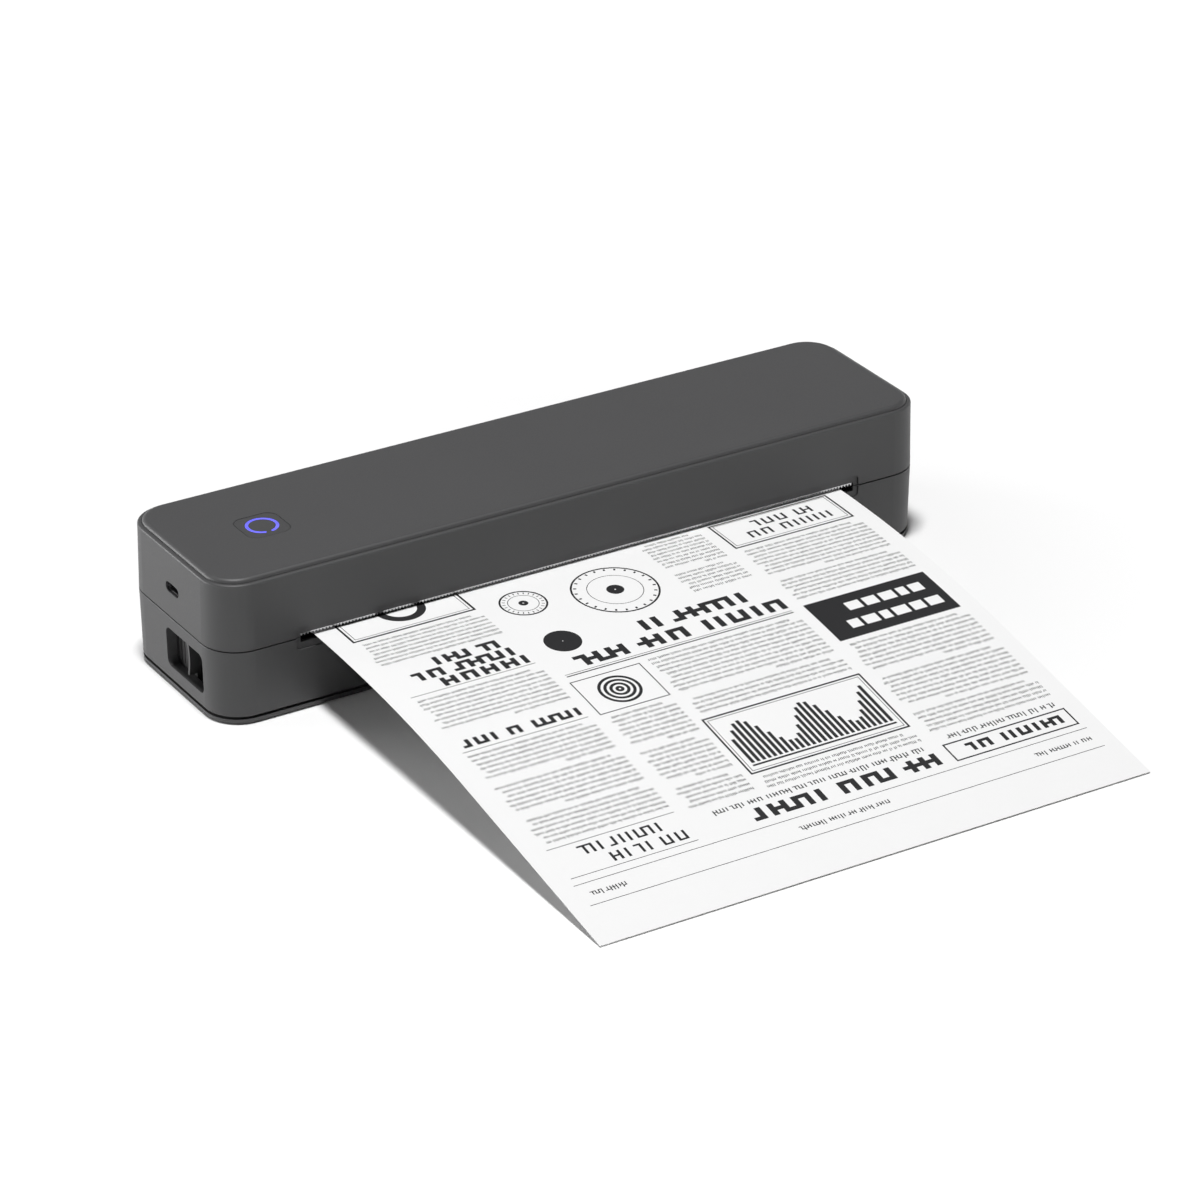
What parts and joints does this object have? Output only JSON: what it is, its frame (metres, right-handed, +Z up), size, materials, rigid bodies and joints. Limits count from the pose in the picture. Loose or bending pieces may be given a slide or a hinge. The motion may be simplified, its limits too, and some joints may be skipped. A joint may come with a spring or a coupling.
{
  "type": "thermal printer",
  "caption": "Slim desktop thermal printer with a rear-hinged lid, a paper roll inside, a serrated exit slot, a lit power button and a sheet coming out.",
  "frame": {"origin": "middle of the rubber mat's underside, under the middle of the case", "axes": "+X along the case to the right of someone facing the paper slot, +Y from the slot to the hinge, +Z up"},
  "size_m": [0.281, 0.2514, 0.0532],
  "materials": {
    "case_plastic": "fine matte moulded plastic, dark grey",
    "button_plastic": "fine matte moulded plastic, dark grey",
    "slider_plastic": "satin moulded plastic, mid grey",
    "inner_plastic": "matte black moulded plastic",
    "black_plastic": "smooth black plastic",
    "gear_plastic": "smooth white gear plastic",
    "led_diffuser": "lit blue-violet diffuser",
    "rubber": "matte black rubber",
    "sheet_steel": "zinc plated sheet steel",
    "bright_steel": "bright nickel plated steel",
    "turned_steel": "turned steel",
    "screw_steel": "blackened steel",
    "bush_bronze": "sintered bronze",
    "heatsink_aluminium": "extruded aluminium",
    "head_ceramic": "glazed ceramic strip",
    "circuit_board": "green solder mask",
    "flex_film": "amber film",
    "battery_wrap": "blue shrink wrap",
    "paper": "smooth white coated paper",
    "cardboard": "plain brown card tube"
  },
  "bodies": {
    "base": {"lower_shell": "case_plastic", "base_plate": "case_plastic", "rubber_mat": "rubber", "base_screws": "screw_steel", "mechanism_frame": "sheet_steel", "frame_screws": "screw_steel", "platen_bushes": "bush_bronze", "paper_guide": "inner_plastic", "paper_sensor": "black_plastic", "motor_bracket": "sheet_steel", "drive_motor": "bright_steel", "motor_screws": "screw_steel", "idler_axle": "turned_steel", "paper_bin": "inner_plastic", "hinge_pins": "turned_steel", "paper_sheet": "paper"},
    "lid": {"upper_shell": "case_plastic", "top_plate": "case_plastic", "tear_bar": "bright_steel", "lid_inner_cover": "inner_plastic", "lid_screws": "screw_steel", "main_board": "circuit_board", "board_screws": "screw_steel", "power_switch": "black_plastic", "radio_module": "bright_steel", "battery_pack": "battery_wrap", "usb_board": "circuit_board", "usb_c_socket": "bright_steel", "usb_tongue": "black_plastic", "head_bracket": "sheet_steel", "head_bracket_screws": "screw_steel", "head_pivot_rod": "turned_steel", "head_springs": "sheet_steel", "head_flex": "flex_film", "flex_connector": "black_plastic", "lid_catches": "sheet_steel"},
    "head": {"thermal_head": "head_ceramic", "head_heatsink": "heatsink_aluminium"},
    "button": {"power_button": "button_plastic", "led_ring": "led_diffuser"},
    "release": {"release_slider": "slider_plastic", "latch_bar": "screw_steel", "latch_hooks": "screw_steel"},
    "roll": {"paper_roll": "paper", "roll_core": "cardboard"},
    "platen": {"platen_shaft": "turned_steel", "platen_rubber": "rubber", "platen_gear": "gear_plastic"},
    "idler": {"idler_gear": "gear_plastic"},
    "motor_rotor": {"motor_pinion": "turned_steel"}
  },
  "joints": [
    {"name": "lid_hinge", "type": "hinge", "parent": "base", "child": "lid", "pos_m": [0, 0.0328, 0.0274], "axis": [-1, 0, 0], "range_deg": [0, 80]},
    {"name": "head_pivot", "type": "hinge", "parent": "lid", "child": "head", "pos_m": [0, -0.01247, 0.03164], "axis": [-1, 0, 0], "range_deg": [0, 1.2], "stiffness_Nm_per_rad": 3, "springref_deg": -1.15},
    {"name": "button_press", "type": "slide", "parent": "lid", "child": "button", "axis": [0, 0, -1], "range_m": [0, 0.00035], "stiffness_N_per_m": 3000, "springref_m": -0.0001},
    {"name": "release_slide", "type": "slide", "parent": "base", "child": "release", "axis": [0, 1, 0], "range_m": [0, 0.003]},
    {"name": "roll_spin", "type": "hinge", "parent": "base", "child": "roll", "pos_m": [0, 0.00841, 0.02134], "axis": [1, 0, 0], "continuous": true},
    {"name": "platen_spin", "type": "hinge", "parent": "base", "child": "platen", "pos_m": [0, -0.02047, 0.02049], "axis": [1, 0, 0], "continuous": true},
    {"name": "idler_spin", "type": "hinge", "parent": "base", "child": "idler", "pos_m": [0.1136, -0.00791, 0.01555], "axis": [1, 0, 0], "continuous": true},
    {"name": "motor_spin", "type": "hinge", "parent": "base", "child": "motor_rotor", "pos_m": [0.1136, 0.00305, 0.01645], "axis": [1, 0, 0], "continuous": true}
  ],
  "couplings": [
    {"joint": "platen_spin", "follows": "roll_spin", "ratio": 2.2152},
    {"joint": "idler_spin", "follows": "roll_spin", "ratio": -1.7722},
    {"joint": "motor_spin", "follows": "roll_spin", "ratio": 3.7975}
  ]
}
